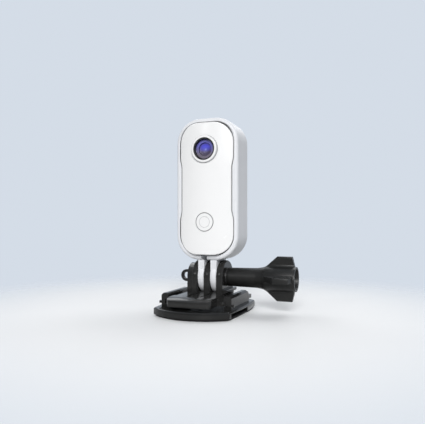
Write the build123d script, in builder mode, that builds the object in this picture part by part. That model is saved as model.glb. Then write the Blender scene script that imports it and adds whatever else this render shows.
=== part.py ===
"""Thumb-sized action camera clamped in its bracket, on a quick-release buckle and a flat adhesive base.

All sizes are in millimetres. Seen from the front, +X points right to the thumb screw, +Y to the back and +Z up.
The origin is the centre of the adhesive face that sticks to a surface.
"""
from build123d import *
import math
import os

os.makedirs("parts", exist_ok=True)

# Sizes of the camera body
camera_width = 26.4
camera_height = 61.2
camera_depth = 17.3
crown_sag = 2.6
corner_radius = 9.3
shell_wall = 1.2
shell_parting = 8.6
waist_depth = 0.85
waist_half_length = 10.4
waist_step = 3.8
waist_rounding = 8.0
edge_rounding = 0.5

# Sizes of the lens
lens_below_top = 12.3
bezel_radius = 6.4
bezel_proud = 0.85
bezel_face_width = 1.15
trim_setback = 0.35
glass_radius = 4.55
glass_dome = 0.75
glass_edge = 0.9
barrel_length = 8.4
thread_relief = 0.35
element_radius = 3.1
element_count = 3
element_thickness = 1.3
element_spacing = 0.75
element_hollow = 0.35
element_rim = 0.3
filter_side = 5.0
filter_thickness = 0.3
sensor_side = 6.4
sensor_thickness = 0.7
holder_side = 12.5
holder_height = 3.4
sensor_board_side = 15.0
board_thickness = 0.8

# Sizes of the shutter button
button_above_foot = 15.2
button_radius = 4.25
button_gap = 0.2
button_travel = 0.35
button_cap_thickness = 1.5
button_flange = 0.75
button_flange_thickness = 0.6
light_radius = 2.6
light_thickness = 0.9
switch_side = 3.6
switch_height = 0.75
switch_plunger_radius = 0.9
switch_plunger_height = 0.35

# Sizes of what the body holds inside
main_board_side_gap = 2.7
main_board_height = 31.5
main_board_setback = 6.6
main_board_foot_gap = 4.5
battery_width = 19.6
battery_height = 26.0
battery_thickness = 4.6
battery_bay_gap = 1.6
battery_wall_gap = 0.3
battery_rounding = 1.2
chip_side = 9.0
chip_thickness = 1.0
memory_chip_width = 7.0
memory_chip_height = 5.5
memory_chip_gap = 0.8
shield_wall = 0.25
shield_side = 10.6
shield_height = 1.6
screw_boss_radius = 1.7
board_screw_radius = 0.7
board_screw_head_radius = 1.25
board_screw_head_height = 0.7
board_screw_length = 3.4
screw_hole_fit = 0.1
board_corner = 1.5
spreader_width = 16.0
spreader_height = 19.0
spreader_top_gap = 3.6
spreader_thickness = 0.5
spreader_gap = 0.3
magnet_width = 12.0
magnet_corner = 1.0
magnet_thickness = 1.5
magnet_gap = 0.9
microphone_radius = 1.4
microphone_thickness = 1.1
microphone_below_top = 3.1
microphone_gap = 0.6
sound_hole_radius = 0.4
antenna_width = 9.0
antenna_height = 3.2
antenna_thickness = 0.3
flex_width = 5.0
flex_thickness = 0.25
seal_section = 0.8
seal_squeeze = 0.05
inner_gap = 0.15

# Sizes of the rear door and what lies behind it
door_width = 17.6
door_height = 15.4
door_thickness = 1.1
door_above_foot = 10.7
door_corner = 1.6
door_gap = 0.15
door_ledge = 0.8
door_knuckle_radius = 0.7
door_knuckle_length = 4.0
hinge_pin_radius = 0.3
hinge_pin_fit = 0.05
finger_nick_radius = 1.6
bay_depth = 6.4
bay_wall = 1.0
usb_width = 8.9
usb_height = 3.2
usb_depth = 5.2
usb_wall = 0.3
usb_tongue_thickness = 0.7
usb_board_gap = 2.9
usb_fit = 0.1
card_side = 2.2
card_width = 11.0
card_length = 15.0
card_thickness = 0.7
card_lip_width = 1.0
card_notch_slant = 26.0
card_slot_fit = 0.08
card_socket_width = 13.4
card_socket_height = 13.2
card_socket_wall = 0.35
card_showing = 2.2

# Sizes of the bracket that clamps the camera
bracket_gap = 0.4
bracket_side_wall = 1.8
bracket_end_wall = 2.15
bracket_slot_width = 2.9
bracket_slot_offset = 1.25
bracket_depth = 15.2
bracket_front_rounding = 1.4
bracket_rear_rounding = 0.9
finger_thickness = 3.0
finger_pitch = 3.1
finger_radius = 7.6
finger_neck_width = 13.0
finger_edge = 0.35

# Sizes of the pivot that the bracket tilts about
pivot_height = 15.7
pivot_back = 7.4
camera_foot_above_pivot = 10.7
prong_thickness = 3.0
prong_radius = 7.75
prong_gap = 0.1
right_ear_thickness = 3.2
left_ear_thickness = 2.8
bolt_radius = 2.45
bolt_fit = 0.08

# Sizes of the nut and its cap
nut_across_flats = 8.0
nut_height = 4.0
nut_fit = 0.05
nut_seat_wall = 0.6
nut_boss_radius = 6.4
nut_boss_width = 2.8
nut_cap_radius = 4.9
nut_cap_flange = 0.4
eye_reach = 2.6
eye_radius = 2.9
eye_hole_radius = 1.6
eye_thickness = 1.8

# Sizes of the thumb screw
washer_radius = 4.2
washer_thickness = 0.5
washer_gap = 0.05
neck_start_radius = 4.35
neck_end_radius = 4.6
neck_length = 14.1
flare_length = 9.4
flare_bend = 3.8
flare_bend_rise = 0.65
flare_rounding = 6.0
head_radius = 10.2
head_length = 7.9
head_chamfer = 1.1
lobe_count = 4
lobe_thickness = 2.5
lobe_tip_rounding = 0.5
lobe_root_rounding = 1.3
core_radius = 5.7
end_ring_radius = 5.6
end_ring_height = 0.8
end_bore_radius = 4.75
end_cap_setback = 2.6
end_cap_dome = 0.3
end_cap_thickness = 1.5
bolt_head_across_flats = 8.0
bolt_head_height = 3.5
bolt_head_setback = 12.6
bolt_tip_inset = 0.5

# Sizes of the adhesive base and its rails
base_half_width = 17.85
base_side_bulge = 1.05
base_half_length = 18.5
base_end_bulge = 7.0
base_corner = 0.9
base_top = 3.7
base_edge = 0.5
pad_thickness = 0.8
pad_inset = 0.8
pocket_start = -16.6
pocket_end = 3.7
pocket_depth = 2.3
pocket_roof = 0.9
rail_inner = 13.3
rail_outer = 16.8
rail_top = 9.5
rail_front = -12.9
rail_rear = 12.0
rail_outer_chamfer = 1.0
rail_inner_chamfer = 0.7
rail_rear_chamfer = 2.0
groove_outer = 15.0
groove_bottom = 4.85
groove_height = 1.95
nub_size = 1.1

# Sizes of the buckle
tongue_clearance = 0.1
tongue_side_clearance = 0.35
tongue_setback = 1.3
tongue_shoulder = -3.0
tongue_rear = 10.6
plate_front = -21.6
plate_bulge = 0.7
plate_half_width = 10.3
plate_edge_height = 7.5
plate_corner = 2.0
plate_slope_end = -17.2
body_front = -13.0
body_top = 8.8
body_beyond_ear = 1.4
body_skirt_half_width = 12.9
body_skirt_height = 5.7
body_rear_half_width = 8.2
trough_clearance = 0.3
crease_width = 1.0
crease_depth = 0.6
crease_start = -15.0
shoulder_width = 1.7
shoulder_top = 10.1
shoulder_rounding = 0.7
leg_inner = 11.0
leg_width = 2.1
leg_root = -3.8
leg_neck_width = 1.1
leg_socket_gap = 0.1
leg_catch_clearance = 0.3
leg_head_length = 7.2
leg_head_outer = 16.4
leg_pad_height = 1.2
leg_pad_slope = 2.0
leg_pad_outer = 14.6

# Places worked out from those sizes
camera_foot_z = pivot_height + camera_foot_above_pivot
camera_top_z = camera_foot_z + camera_height
camera_z = (camera_foot_z + camera_top_z) / 2
bracket_front = pivot_back - bracket_depth / 2
camera_front = bracket_front - crown_sag
camera_rear = camera_front + camera_depth
parting_y = camera_front + shell_parting
crown_radius = ((camera_width / 2) ** 2 + crown_sag ** 2) / (2 * crown_sag)
finger_inner = finger_pitch - finger_thickness / 2
finger_outer = finger_pitch + finger_thickness / 2
ear_inner = finger_outer + prong_gap
right_ear_outer = ear_inner + right_ear_thickness
shoulder_half_width = right_ear_outer + shoulder_width
body_half_width = right_ear_outer + body_beyond_ear
left_ear_outer = ear_inner + left_ear_thickness
bore_radius = bolt_radius + bolt_fit
tongue_bottom = groove_bottom + tongue_clearance
tongue_top = groove_bottom + groove_height - tongue_clearance
lens_z = camera_top_z - lens_below_top
button_z = camera_foot_z + button_above_foot


def front_plane(y, z=camera_z, x=0):
    """A sketch plane that faces the front, with its own x along +X and its own y along +Z."""
    return Plane(origin=(x, y, z), x_dir=(1, 0, 0), z_dir=(0, -1, 0))


def side_plane(x, y=pivot_back, z=pivot_height):
    """A sketch plane that faces +X, with its own x along +Y and its own y along +Z."""
    return Plane(origin=(x, y, z), x_dir=(0, 1, 0), z_dir=(1, 0, 0))


def save(builder, name):
    """Labels a finished piece and writes it under its node's name."""
    builder.part.label = name
    export_step(builder.part, f"parts/{name}.step")


def crown_y(x, radius=crown_radius, apex=camera_front):
    """How far back the crowned front lies at a distance x from the middle."""
    return apex + radius - math.sqrt(radius ** 2 - x ** 2)


def body_outline(y, inset=0.0):
    """The camera's outline, drawn in by inset, with its corners and its narrower waist."""
    half_width = camera_width / 2 - inset
    half_height = camera_height / 2 - inset
    waist = half_width - waist_depth
    step_end = waist_half_length + waist_step
    quarter = [(half_width, half_height), (half_width, step_end), (waist, waist_half_length)]
    right = quarter + [(x, -z) for x, z in reversed(quarter)]
    left = [(-x, z) for x, z in reversed(right)]
    with BuildSketch(front_plane(y)) as outline:
        with BuildLine():
            Polyline(*right, *left, close=True)
        make_face()
        heights = outline.vertices().group_by(lambda v: round(abs(v.Y), 2))
        fillet(heights[-1], corner_radius - inset)
        fillet(outline.vertices().filter_by(lambda v: abs(v.Y) < step_end + inner_gap), waist_rounding)
    return outline.sketch


def crowned_prism(inset, rear_y, apex_y):
    """A solid with the camera's outline and its crowned front, from the apex back to rear_y."""
    radius = crown_radius - (apex_y - camera_front)
    reach = camera_width
    edge = crown_y(camera_width / 2, radius, apex_y)
    with BuildPart() as prism:
        extrude(body_outline(rear_y, inset), amount=rear_y - apex_y)
        with BuildSketch(Plane.XY.offset(camera_z - camera_height)):
            with BuildLine():
                ThreePointArc((-camera_width / 2, edge), (0, apex_y), (camera_width / 2, edge))
                Polyline((camera_width / 2, edge), (camera_width / 2, edge + reach),
                         (-camera_width / 2, edge + reach), (-camera_width / 2, edge))
            make_face()
        extrude(amount=2 * camera_height, mode=Mode.INTERSECT)
    return prism.part


bay_width = door_width - 2 * door_ledge
bay_height = door_height - 2 * door_ledge
door_z = camera_foot_z + door_above_foot
door_front_y = camera_rear - door_thickness
bay_floor_y = door_front_y - bay_depth
bay_top_z = door_z + bay_height / 2
hinge_y = camera_rear - door_knuckle_radius
hinge_z = door_z - door_height / 2 + door_gap + door_knuckle_radius
board_front_y = camera_front + main_board_setback
board_rear_y = board_front_y + board_thickness
board_z = camera_foot_z + main_board_foot_gap + main_board_height / 2
main_board_width = camera_width - 2 * main_board_side_gap
usb_side = main_board_width / 2 - usb_board_gap - usb_height / 2
boss_x = main_board_width / 2 - screw_boss_radius
boss_z = main_board_height / 2 - screw_boss_radius
boss_places = [(sx * boss_x, sz * boss_z) for sx in (-1, 1) for sz in (-1, 1)]
inner_rear_y = camera_rear - shell_wall
microphone_z = camera_top_z - microphone_below_top
bezel_front_y = camera_front - bezel_proud
barrel_radius = bezel_radius - bezel_face_width - inner_gap / 3
glass_edge_y = bezel_front_y + glass_dome
glass_dome_radius = (glass_radius ** 2 + glass_dome ** 2) / (2 * glass_dome)
element_ball_radius = ((element_radius - element_rim) ** 2 + element_hollow ** 2) / (2 * element_hollow)
barrel_front_y = bezel_front_y + trim_setback
barrel_rear_y = barrel_front_y + barrel_length
sensor_board_y = barrel_rear_y + holder_height / 2 - thread_relief
card_y = bay_floor_y + card_socket_wall / 2
card_seated_bottom_z = bay_top_z - card_showing


def ring_profile(inner, outer, start, length):
    """A ring's half section, as corner points: along the axis first, then out from it."""
    return [(start, inner), (start + length, inner), (start + length, outer), (start, outer)]


# The white front shell: a crowned face with holes for the lens and for the button
front_cavity = crowned_prism(shell_wall, parting_y + 1, camera_front + shell_wall)
with BuildPart() as front_cover:
    add(crowned_prism(0, parting_y, camera_front))
    rim = front_cover.faces().filter_by(GeomType.CYLINDER).sort_by(Axis.Y)[0].outer_wire().edges()
    fillet(rim, edge_rounding)
    add(front_cavity, mode=Mode.SUBTRACT)
    with BuildSketch(front_plane(board_front_y - inner_gap, board_z)):
        with Locations(*boss_places):
            Circle(screw_boss_radius)
    extrude(until=Until.NEXT)
    with BuildSketch(front_plane(board_front_y, board_z)):
        with Locations(*boss_places):
            Circle(board_screw_radius + screw_hole_fit)
    extrude(amount=board_screw_length, mode=Mode.SUBTRACT)
    with BuildSketch(front_plane(camera_front + crown_sag, lens_z)):
        Circle(bezel_radius + inner_gap / 2)
    extrude(amount=2 * crown_sag, mode=Mode.SUBTRACT)
    with BuildSketch(front_plane(camera_front + crown_sag, button_z)):
        Circle(button_radius + button_gap)
    extrude(amount=2 * crown_sag, mode=Mode.SUBTRACT)
save(front_cover, "front_cover")

# The rear shell: a flat back with the bay for the card and the socket, closed by its door
with BuildPart() as rear_cavity:
    extrude(body_outline(parting_y, shell_wall), amount=parting_y - inner_rear_y)
with BuildPart() as rear_cover:
    extrude(body_outline(parting_y), amount=parting_y - camera_rear)
    fillet(rear_cover.faces().sort_by(Axis.Y)[-1].outer_wire().edges(), edge_rounding)
    add(rear_cavity.part, mode=Mode.SUBTRACT)
    with BuildSketch(front_plane(inner_rear_y, door_z)):
        Rectangle(bay_width + 2 * bay_wall, bay_height + 2 * bay_wall)
    extrude(amount=inner_rear_y - bay_floor_y + bay_wall)
    with BuildSketch(front_plane(camera_rear, door_z)):
        RectangleRounded(door_width, door_height, door_corner)
    extrude(amount=door_thickness, mode=Mode.SUBTRACT)
    with BuildSketch(front_plane(camera_rear, door_z)):
        Rectangle(bay_width, bay_height)
    extrude(amount=door_thickness + bay_depth, mode=Mode.SUBTRACT)
    with BuildSketch(front_plane(bay_floor_y, door_z, -usb_side)):
        Rectangle(usb_height + 2 * usb_fit, usb_width + 2 * usb_fit)
    extrude(amount=bay_wall, mode=Mode.SUBTRACT)
    with BuildSketch(Plane((card_side, card_y + card_thickness / 2, bay_top_z))):
        Rectangle(card_width + 2 * card_slot_fit, card_thickness + 2 * card_slot_fit)
    extrude(amount=bay_wall, mode=Mode.SUBTRACT)
    with BuildSketch(side_plane(0, hinge_y, hinge_z)):
        Circle(door_knuckle_radius + door_gap)
    extrude(amount=door_knuckle_length / 2 + door_gap, both=True, mode=Mode.SUBTRACT)
    with BuildSketch(side_plane(0, hinge_y, hinge_z)):
        Circle(hinge_pin_radius + hinge_pin_fit)
    extrude(amount=door_knuckle_length, both=True, mode=Mode.SUBTRACT)
    with BuildSketch(front_plane(camera_rear, microphone_z)):
        Circle(sound_hole_radius)
    extrude(amount=shell_wall, mode=Mode.SUBTRACT)
save(rear_cover, "rear_cover")

# The seal that lines the joint between the two shells
with BuildPart() as cover_seal:
    extrude(body_outline(parting_y + inner_gap, shell_wall + seal_squeeze), amount=seal_section)
    extrude(body_outline(parting_y + inner_gap, shell_wall + seal_squeeze + seal_section),
            amount=seal_section, mode=Mode.SUBTRACT)
save(cover_seal, "cover_seal")

# The lens: a white bezel, a black barrel, the domed front glass and what stands behind it
lens_section = side_plane(0, 0, lens_z)
lens_axis = Axis((0, 0, lens_z), (0, 1, 0))
with BuildPart() as lens_bezel:
    with BuildSketch(lens_section):
        with BuildLine():
            Polyline(*ring_profile(bezel_radius - bezel_face_width, bezel_radius, bezel_front_y,
                                   bezel_proud + crown_sag), close=True)
        make_face()
    revolve(axis=lens_axis)
    fillet(lens_bezel.faces().sort_by(Axis.Y)[0].outer_wire().edges(), bezel_face_width / 2)
save(lens_bezel, "lens_bezel")

with BuildPart() as lens_barrel:
    with BuildSketch(lens_section):
        with BuildLine():
            Polyline(
                (barrel_front_y, glass_radius + seal_squeeze),
                (glass_edge_y + glass_edge + seal_squeeze, glass_radius + seal_squeeze),
                (glass_edge_y + glass_edge + seal_squeeze, element_radius + seal_squeeze),
                (barrel_rear_y, element_radius + seal_squeeze),
                (barrel_rear_y, barrel_radius - thread_relief),
                (barrel_front_y + barrel_length / 2, barrel_radius - thread_relief),
                (barrel_front_y + barrel_length / 2, barrel_radius),
                (barrel_front_y, barrel_radius),
                close=True)
        make_face()
    revolve(axis=lens_axis)
save(lens_barrel, "lens_barrel")

with BuildPart() as front_lens:
    with BuildSketch(front_plane(glass_edge_y + glass_edge, lens_z)):
        Circle(glass_radius)
    extrude(amount=glass_edge + 2 * glass_dome)
    with Locations((0, bezel_front_y + glass_dome_radius, lens_z)):
        Sphere(glass_dome_radius, mode=Mode.INTERSECT)
save(front_lens, "front_lens")

def lens_element(start):
    """One glass element behind the front lens, with its hollowed face at start."""
    with BuildPart() as element:
        with BuildSketch(front_plane(start + element_thickness, lens_z)):
            Circle(element_radius)
        extrude(amount=element_thickness)
        with Locations((0, start + element_hollow - element_ball_radius, lens_z)):
            Sphere(element_ball_radius, mode=Mode.SUBTRACT)
    return element.part


element_start_y = glass_edge_y + glass_edge + element_spacing
with BuildPart() as inner_lenses:
    for place in range(element_count):
        add(lens_element(element_start_y + place * (element_thickness + element_spacing)))
save(inner_lenses, "inner_lenses")

with BuildPart() as lens_holder:
    with BuildSketch(front_plane(sensor_board_y, lens_z)):
        RectangleRounded(holder_side, holder_side, board_corner)
    extrude(amount=holder_height)
    with BuildSketch(front_plane(sensor_board_y, lens_z)):
        Circle(barrel_radius - thread_relief + bolt_fit)
    extrude(amount=holder_height, mode=Mode.SUBTRACT)
save(lens_holder, "lens_holder")

with BuildPart() as image_sensor:
    with BuildSketch(front_plane(sensor_board_y, lens_z)):
        Rectangle(sensor_side, sensor_side)
    extrude(amount=sensor_thickness)
save(image_sensor, "image_sensor")

with BuildPart() as infrared_filter:
    with BuildSketch(front_plane(sensor_board_y - sensor_thickness, lens_z)):
        Rectangle(filter_side, filter_side)
    extrude(amount=filter_thickness)
save(infrared_filter, "infrared_filter")

with BuildPart() as sensor_board:
    with BuildSketch(front_plane(sensor_board_y + board_thickness, lens_z)):
        RectangleRounded(sensor_board_side, sensor_board_side, board_corner)
    extrude(amount=board_thickness)
save(sensor_board, "sensor_board")

# The ribbon from the lens board down to the main board
with BuildPart() as sensor_ribbon:
    with BuildSketch(side_plane(-flex_width / 2, 0, 0)):
        with BuildLine():
            ribbon_top = (sensor_board_y + board_thickness + flex_thickness, lens_z - sensor_board_side / 3)
            ribbon_turn = (ribbon_top[0], lens_z - sensor_board_side / 2 - flex_thickness)
            ribbon_foot_y = board_rear_y + flex_thickness
            ribbon_knee = (ribbon_foot_y, board_z + main_board_height / 2 - flex_width / 4)
            ribbon_end = (ribbon_foot_y, ribbon_knee[1] - flex_width / 2)
            Polyline(ribbon_top, ribbon_turn, ribbon_knee, ribbon_end)
        trace(line_width=flex_thickness)
    extrude(amount=flex_width)
save(sensor_ribbon, "sensor_ribbon")

# The main board and what is soldered to it
with BuildPart() as main_board:
    with BuildSketch(front_plane(board_rear_y, board_z)):
        RectangleRounded(main_board_width, main_board_height, board_corner)
        with Locations(*boss_places):
            Circle(board_screw_radius + screw_hole_fit, mode=Mode.SUBTRACT)
    extrude(amount=board_thickness)
save(main_board, "main_board")

with BuildPart() as board_screws:
    with BuildSketch(front_plane(board_rear_y, board_z)):
        with Locations(*boss_places):
            Circle(board_screw_radius)
    extrude(amount=board_thickness + board_screw_length - screw_hole_fit)
    with BuildSketch(front_plane(board_rear_y, board_z)):
        with Locations(*boss_places):
            Circle(board_screw_head_radius)
    extrude(amount=-board_screw_head_height)
save(board_screws, "board_screws")

chip_z = board_z + main_board_height / 4
with BuildPart() as processor:
    with BuildSketch(front_plane(board_front_y, chip_z)):
        Rectangle(chip_side, chip_side)
    extrude(amount=chip_thickness)
save(processor, "processor")

with BuildPart() as shield_can:
    with BuildSketch(front_plane(board_front_y, chip_z)):
        Rectangle(shield_side, shield_side)
    extrude(amount=shield_height)
    with BuildSketch(front_plane(board_front_y, chip_z)):
        Rectangle(shield_side - 2 * shield_wall, shield_side - 2 * shield_wall)
    extrude(amount=shield_height - shield_wall, mode=Mode.SUBTRACT)
save(shield_can, "shield_can")

memory_chip_z = button_z - switch_side / 2 - memory_chip_gap - memory_chip_height / 2
with BuildPart() as memory_chip:
    with BuildSketch(front_plane(board_front_y, memory_chip_z)):
        Rectangle(memory_chip_width, memory_chip_height)
    extrude(amount=chip_thickness)
save(memory_chip, "memory_chip")

with BuildPart() as button_switch:
    with BuildSketch(front_plane(board_front_y, button_z)):
        Rectangle(switch_side, switch_side)
    extrude(amount=switch_height)
    with BuildSketch(front_plane(board_front_y - switch_height, button_z)):
        Circle(switch_plunger_radius)
    extrude(amount=switch_plunger_height)
save(button_switch, "button_switch")

with BuildPart() as usb_socket:
    with BuildSketch(front_plane(board_rear_y, door_z, -usb_side)):
        RectangleRounded(usb_height, usb_width, usb_height / 2 - usb_wall)
    extrude(amount=-usb_depth)
    with BuildSketch(front_plane(board_rear_y + usb_wall, door_z, -usb_side)):
        RectangleRounded(usb_height - 2 * usb_wall, usb_width - 2 * usb_wall, usb_height / 2 - 2 * usb_wall)
        Rectangle(usb_tongue_thickness, usb_width - 4 * usb_wall, mode=Mode.SUBTRACT)
    extrude(amount=-usb_depth, mode=Mode.SUBTRACT)
save(usb_socket, "usb_socket")

socket_plane = Plane((card_side, card_y + card_thickness / 2, bay_top_z + bay_wall))
socket_thickness = card_thickness + 2 * card_slot_fit + 2 * card_socket_wall
with BuildPart() as card_socket:
    with BuildSketch(socket_plane):
        Rectangle(card_socket_width, socket_thickness)
    extrude(amount=card_socket_height)
    with BuildSketch(socket_plane):
        Rectangle(card_width + 2 * card_slot_fit, card_thickness + 2 * card_slot_fit)
    extrude(amount=card_length - card_showing - bay_wall + card_slot_fit, mode=Mode.SUBTRACT)
save(card_socket, "card_socket")

with BuildPart() as memory_card:
    with BuildSketch(front_plane(card_y + card_thickness, card_seated_bottom_z + card_length / 2, card_side)):
        Rectangle(card_width, card_length)
        with Locations((card_width / 2, card_length / 2)):
            Rectangle(2 * card_lip_width, 4 * card_lip_width, rotation=card_notch_slant, mode=Mode.SUBTRACT)
    extrude(amount=card_thickness)
save(memory_card, "memory_card")

# The battery, the heat spreader, the magnet, the microphone and the aerial
battery_rear_y = inner_rear_y - battery_wall_gap
battery_foot_z = bay_top_z + bay_wall + battery_bay_gap
battery_top_z = battery_foot_z + battery_height
with BuildPart() as battery:
    with BuildSketch(front_plane(battery_rear_y, (battery_foot_z + battery_top_z) / 2)):
        Rectangle(battery_width, battery_height)
    extrude(amount=battery_thickness)
    fillet(battery.edges().filter_by(Axis.Z), battery_rounding)
save(battery, "battery")

with BuildPart() as heat_spreader:
    with BuildSketch(front_plane(sensor_board_y + board_thickness + spreader_gap + spreader_thickness,
                                 camera_top_z - spreader_top_gap - spreader_height / 2)):
        RectangleRounded(spreader_width, spreader_height, board_corner)
        with Locations((0, -spreader_height / 2)):
            Rectangle(flex_width + board_corner, spreader_height / 2 + 2 * board_corner, mode=Mode.SUBTRACT)
    extrude(amount=spreader_thickness)
save(heat_spreader, "heat_spreader")

magnet_foot_z = battery_top_z + magnet_gap
magnet_top_z = microphone_z - microphone_radius - microphone_gap
with BuildPart() as rear_magnet:
    with BuildSketch(front_plane(inner_rear_y - inner_gap, (magnet_foot_z + magnet_top_z) / 2)):
        RectangleRounded(magnet_width, magnet_top_z - magnet_foot_z, magnet_corner)
    extrude(amount=magnet_thickness)
save(rear_magnet, "rear_magnet")

with BuildPart() as microphone:
    with BuildSketch(front_plane(inner_rear_y - inner_gap, microphone_z)):
        Circle(microphone_radius)
    extrude(amount=microphone_thickness)
save(microphone, "microphone")

aerial_y = parting_y + antenna_height
aerial_top_z = camera_top_z - shell_wall - inner_gap
with BuildPart() as aerial:
    with BuildSketch(Plane((0, aerial_y, aerial_top_z))):
        Rectangle(antenna_width, antenna_height)
    extrude(amount=-antenna_thickness)
save(aerial, "aerial")

# The shutter button, its light and the stem that meets the switch
shell_inside_y = crown_y(button_radius + button_flange, crown_radius - shell_wall, camera_front + shell_wall)
flange_y = shell_inside_y + inner_gap / 2
button_stem_end_y = board_front_y - switch_height - switch_plunger_height - button_travel
button_face = crowned_prism(0, flange_y + button_flange_thickness, camera_front)
with BuildPart() as shutter_button:
    with BuildSketch(front_plane(flange_y + button_flange_thickness, button_z)):
        Circle(button_radius)
    extrude(amount=2 * crown_sag)
    add(button_face, mode=Mode.INTERSECT)
    with BuildSketch(front_plane(flange_y + button_flange_thickness, button_z)):
        Circle(button_radius + button_flange)
    extrude(amount=button_flange_thickness)
    with BuildSketch(front_plane(button_stem_end_y, button_z)):
        Circle(switch_plunger_radius)
    extrude(amount=button_stem_end_y - flange_y)
    with BuildSketch(front_plane(camera_front + light_thickness, button_z)):
        Circle(light_radius)
    extrude(amount=2 * light_thickness, mode=Mode.SUBTRACT)
save(shutter_button, "shutter_button")

with BuildPart() as button_light:
    with BuildSketch(front_plane(camera_front + light_thickness, button_z)):
        Circle(light_radius - hinge_pin_fit)
    extrude(amount=2 * light_thickness)
    add(button_face, mode=Mode.INTERSECT)
save(button_light, "button_light")

# The rear door, hinged on a pin at its lower edge
with BuildPart() as rear_door:
    with BuildSketch(front_plane(camera_rear, door_z + door_gap)):
        RectangleRounded(door_width - 2 * door_gap, door_height - 2 * door_gap, door_corner - door_gap)
    extrude(amount=door_thickness - door_gap)
    with BuildSketch(front_plane(camera_rear + door_gap, hinge_z)):
        Rectangle(door_width, 2 * door_knuckle_radius)
    extrude(amount=door_thickness + 2 * door_gap, mode=Mode.SUBTRACT)
    with BuildSketch(front_plane(camera_rear, hinge_z + door_knuckle_radius)):
        Rectangle(door_knuckle_length, 2 * door_knuckle_radius)
    extrude(amount=door_thickness - door_gap)
    with BuildSketch(side_plane(0, hinge_y, hinge_z)):
        Circle(door_knuckle_radius)
    extrude(amount=door_knuckle_length / 2, both=True)
    with BuildSketch(side_plane(0, hinge_y, hinge_z)):
        Circle(hinge_pin_radius + hinge_pin_fit)
    extrude(amount=door_knuckle_length, both=True, mode=Mode.SUBTRACT)
    with BuildSketch(front_plane(camera_rear, door_z + door_height / 2)):
        Circle(finger_nick_radius)
    extrude(amount=door_thickness / 2, mode=Mode.SUBTRACT)
save(rear_door, "rear_door")

with BuildPart() as door_pin:
    with BuildSketch(side_plane(0, hinge_y, hinge_z)):
        Circle(hinge_pin_radius)
    extrude(amount=door_knuckle_length - door_gap, both=True)
save(door_pin, "door_pin")

# The white bracket: a band round the camera, split below between two fingers
window_half_width = camera_width / 2 + bracket_gap
bracket_bottom_z = camera_foot_z - bracket_gap - bracket_end_wall
bracket_plane = front_plane(bracket_front + bracket_depth)
with BuildPart() as bracket_frame:
    with BuildSketch(bracket_plane):
        RectangleRounded(2 * (window_half_width + bracket_side_wall),
                         camera_height + 2 * (bracket_gap + bracket_end_wall), corner_radius + bracket_end_wall)
    extrude(amount=bracket_depth)
    fillet(bracket_frame.faces().sort_by(Axis.Y)[0].outer_wire().edges(), bracket_front_rounding)
    fillet(bracket_frame.faces().sort_by(Axis.Y)[-1].outer_wire().edges(), bracket_rear_rounding)
    extrude(body_outline(bracket_front + bracket_depth, -bracket_gap), amount=bracket_depth, mode=Mode.SUBTRACT)
    for side in (-1, 1):
        with BuildSketch(side_plane(side * finger_inner)):
            Circle(finger_radius)
            neck_rise = bracket_bottom_z + bracket_end_wall / 2 - pivot_height
            with Locations((0, neck_rise / 2)):
                Rectangle(finger_neck_width, neck_rise)
        extrude(amount=side * finger_thickness)
    with BuildSketch(Plane.XY.offset(bracket_bottom_z)):
        with Locations((-bracket_slot_offset, pivot_back)):
            Rectangle(bracket_slot_width, 2 * bracket_depth)
    extrude(amount=bracket_end_wall + finger_edge, mode=Mode.SUBTRACT)
    with BuildSketch(side_plane(-finger_outer)):
        Circle(bore_radius)
    extrude(amount=2 * finger_outer, mode=Mode.SUBTRACT)
    tips = bracket_frame.edges().filter_by(GeomType.CIRCLE).filter_by(
        lambda e: abs(e.radius - finger_radius) < finger_edge)
    chamfer(tips, finger_edge)
save(bracket_frame, "bracket_frame")

# The buckle: a tongue that slides in the rails, with three prongs that take the fingers
def prong(inner, outer, radius=prong_radius):
    """One prong between two places along X, rounded over the pivot and standing on the tongue."""
    rise = pivot_height - body_top
    with BuildPart() as piece:
        with BuildSketch(side_plane(inner)):
            Circle(radius)
            with Locations((0, -rise / 2)):
                Rectangle(2 * radius, rise)
        extrude(amount=outer - inner)
        crests = piece.edges().filter_by(GeomType.CIRCLE).filter_by(lambda e: e.radius > nut_boss_radius)
        if crests:
            chamfer(crests, finger_edge)
    return piece.part


tongue_half_width = groove_outer - tongue_side_clearance
prong_front = pivot_back - prong_radius
prong_rear = pivot_back + prong_radius
leg_middle = leg_inner + leg_width / 2
leg_straight_start = tongue_shoulder + leg_catch_clearance
with BuildPart() as front_plate:
    with BuildSketch(Plane.XY.offset(tongue_bottom)) as plate_plan:
        with BuildLine():
            ThreePointArc((-plate_half_width, plate_front), (0, plate_front - plate_bulge),
                          (plate_half_width, plate_front))
            Polyline((plate_half_width, plate_front), (plate_half_width, body_front),
                     (-plate_half_width, body_front), (-plate_half_width, plate_front))
        make_face()
        fillet(plate_plan.vertices().group_by(Axis.Y)[0], plate_corner)
    extrude(amount=body_top - tongue_bottom)
    with BuildSketch(side_plane(-plate_half_width, 0, 0)):
        with BuildLine():
            slope_start = plate_front - plate_bulge
            slope_middle = ((slope_start + plate_slope_end) / 2, (plate_edge_height + 2 * body_top) / 3)
            ThreePointArc((slope_start, plate_edge_height), slope_middle, (plate_slope_end, body_top))
            Polyline((plate_slope_end, body_top), (slope_start, body_top), (slope_start, plate_edge_height))
        make_face()
    extrude(amount=2 * plate_half_width, mode=Mode.SUBTRACT)

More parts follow.
